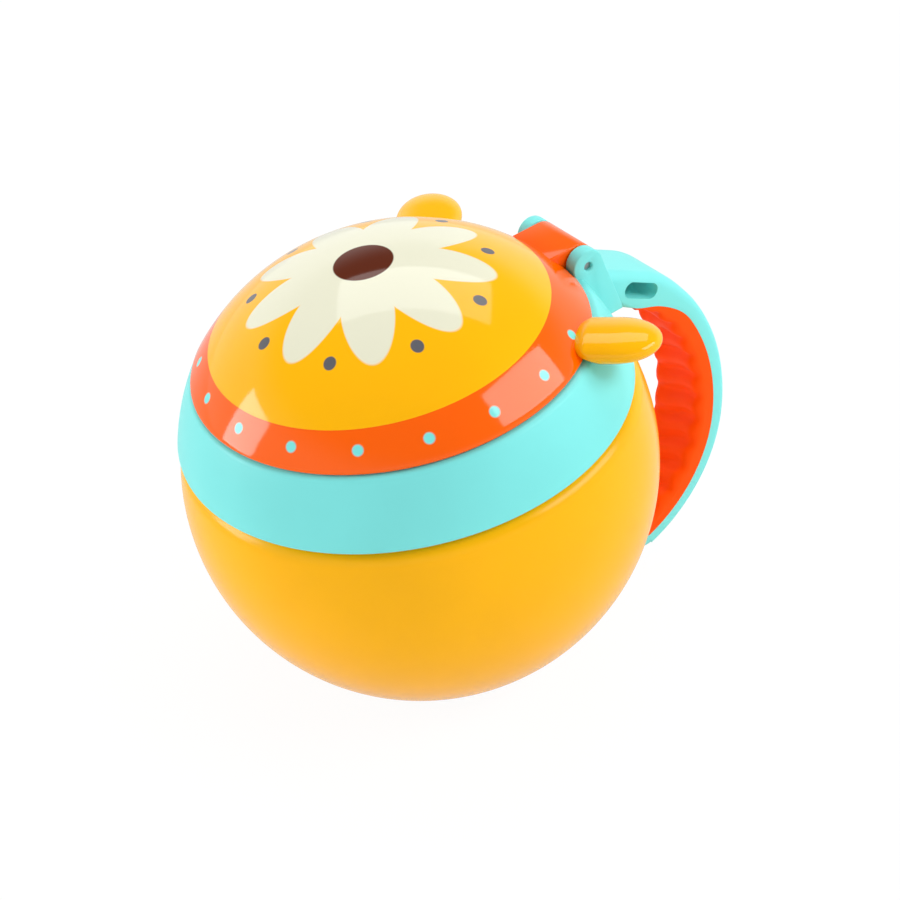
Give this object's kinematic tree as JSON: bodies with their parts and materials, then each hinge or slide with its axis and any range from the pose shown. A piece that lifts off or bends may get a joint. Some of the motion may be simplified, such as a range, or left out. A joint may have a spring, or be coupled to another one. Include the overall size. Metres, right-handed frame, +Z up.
{
  "type": "toddler snack container",
  "caption": "Ball-shaped snack cup with a tilted flap mouth, screw-on collar with a gripped handle, and a hinged dome lid with side tabs.",
  "frame": {"origin": "centre of the bowl's flat foot, on the surface it stands on", "axes": "+Z up, +Y towards the handle, -Y the front, X along the lid's hinge"},
  "size_m": [0.104, 0.1333, 0.099],
  "materials": {
    "bowl_pp": "glossy moulded polypropylene, warm yellow",
    "collar_pp": "satin moulded polypropylene, pale turquoise",
    "grip_tpe": "soft matt thermoplastic elastomer, red-orange",
    "pin_steel": "plain steel pin",
    "flap_tpe": "soft satin thermoplastic elastomer, pale turquoise",
    "lid_abs": "high-gloss moulded ABS, orange",
    "liner_pp": "moulded polypropylene, orange",
    "printed_film": "glossy in-mould printed film, yellow and cream",
    "tab_abs": "glossy moulded ABS, warm yellow"
  },
  "bodies": {
    "bowl": {"bowl": "bowl_pp"},
    "insert": {"flap_ring": "flap_tpe"},
    "collar": {"collar_ring": "collar_pp", "handle_arm": "collar_pp", "handle_grip": "grip_tpe", "hinge_pin": "pin_steel"},
    "lid": {"lid_shell": "lid_abs", "lid_liner": "liner_pp", "decor_film": "printed_film", "side_tab_left": "tab_abs", "side_tab_right": "tab_abs"},
    "flap_1": {"flap_1": "flap_tpe"},
    "flap_2": {"flap_2": "flap_tpe"},
    "flap_3": {"flap_3": "flap_tpe"},
    "flap_4": {"flap_4": "flap_tpe"},
    "flap_5": {"flap_5": "flap_tpe"},
    "flap_6": {"flap_6": "flap_tpe"}
  },
  "joints": [
    {"name": "insert_lift", "type": "slide", "parent": "bowl", "child": "insert", "axis": [0, -0.1959, 0.9806], "range_m": [0, 0.0076]},
    {"name": "collar_twist", "type": "hinge", "parent": "insert", "child": "collar", "pos_m": [0, 0, 0.0456], "axis": [0, -0.1959, 0.9806], "range_deg": [0, 75]},
    {"name": "lid_hinge", "type": "hinge", "parent": "collar", "child": "lid", "pos_m": [0, 0.0358, 0.08742], "axis": [-1, 0, 0], "range_deg": [0, 115]},
    {"name": "flap_1_bend", "type": "hinge", "parent": "insert", "child": "flap_1", "pos_m": [0.02901, -0.00529, 0.07207], "axis": [0, -0.9806, -0.1959], "range_deg": [-15, 70], "stiffness_Nm_per_rad": 0.01},
    {"name": "flap_2_bend", "type": "hinge", "parent": "insert", "child": "flap_2", "pos_m": [0.01451, 0.01935, 0.077], "axis": [0.866, -0.4903, -0.098], "range_deg": [-15, 70], "stiffness_Nm_per_rad": 0.01},
    {"name": "flap_3_bend", "type": "hinge", "parent": "insert", "child": "flap_3", "pos_m": [-0.01451, 0.01935, 0.077], "axis": [0.866, 0.4903, 0.098], "range_deg": [-15, 70], "stiffness_Nm_per_rad": 0.01},
    {"name": "flap_4_bend", "type": "hinge", "parent": "insert", "child": "flap_4", "pos_m": [-0.02901, -0.00529, 0.07207], "axis": [0, 0.9806, 0.1959], "range_deg": [-15, 70], "stiffness_Nm_per_rad": 0.01},
    {"name": "flap_5_bend", "type": "hinge", "parent": "insert", "child": "flap_5", "pos_m": [-0.01451, -0.02993, 0.06715], "axis": [-0.866, 0.4903, 0.098], "range_deg": [-15, 70], "stiffness_Nm_per_rad": 0.01},
    {"name": "flap_6_bend", "type": "hinge", "parent": "insert", "child": "flap_6", "pos_m": [0.01451, -0.02993, 0.06715], "axis": [-0.866, -0.4903, -0.098], "range_deg": [-15, 70], "stiffness_Nm_per_rad": 0.01}
  ],
  "couplings": [
    {"joint": "insert_lift", "follows": "collar_twist", "m_per_rad": 0.00573}
  ]
}
